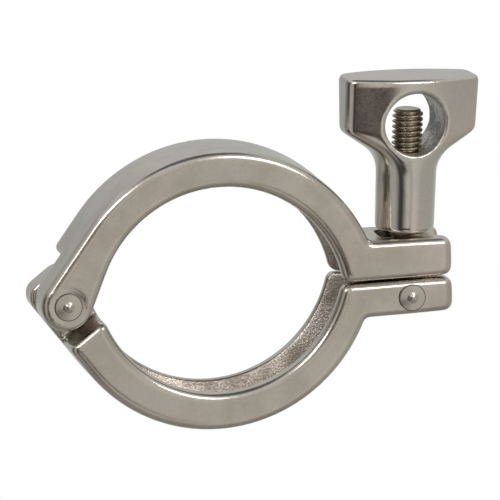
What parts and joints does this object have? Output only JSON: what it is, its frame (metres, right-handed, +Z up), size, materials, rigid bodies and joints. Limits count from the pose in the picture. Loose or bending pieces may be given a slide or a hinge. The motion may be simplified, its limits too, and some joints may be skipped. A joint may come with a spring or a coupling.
{
  "type": "sanitary hinged clamp",
  "caption": "Closed sanitary clamp: two hinged cast stainless half rings, a swing bolt and a T-headed wing nut.",
  "frame": {"origin": "on the axis of the flanges, in the middle of the band's width, where the two grooves meet", "axes": "+Y along the axis of the tubes, towards the face where the lower half's arm laps at the hinge; +X from the hinge to the ears; +Z up, towards the wing nut"},
  "size_m": [0.1178, 0.0229, 0.0897],
  "materials": {
    "half_casting": "satin",
    "nut_casting": "polished",
    "bolt_steel": "machined",
    "rivet_steel": "polished"
  },
  "bodies": {
    "lower_clamp": {"lower_half": "half_casting", "hinge_pin": "rivet_steel", "bolt_pin": "rivet_steel"},
    "upper_clamp": {"upper_half": "half_casting"},
    "bolt": {"swing_bolt": "bolt_steel"},
    "nut": {"wing_nut": "nut_casting"}
  },
  "joints": [
    {"name": "bolt_swing", "type": "hinge", "parent": "lower_clamp", "child": "bolt", "pos_m": [0.04934, 0, -0.00417], "axis": [0, 1, 0], "range_deg": [0, 90]},
    {"name": "hinge_open", "type": "hinge", "parent": "lower_clamp", "child": "upper_clamp", "pos_m": [-0.04125, 0, -0.00205], "axis": [0, -1, 0], "range_deg": [0, 8.1]},
    {"name": "nut_travel", "type": "slide", "parent": "bolt", "child": "nut", "axis": [0.0262, 0, 0.9997], "range_m": [0, 0.02823]}
  ],
  "couplings": [
    {"joint": "hinge_open", "follows": "bolt_swing", "ratio": 0.09},
    {"joint": "nut_travel", "follows": "bolt_swing", "m_per_rad": 0.01797}
  ]
}
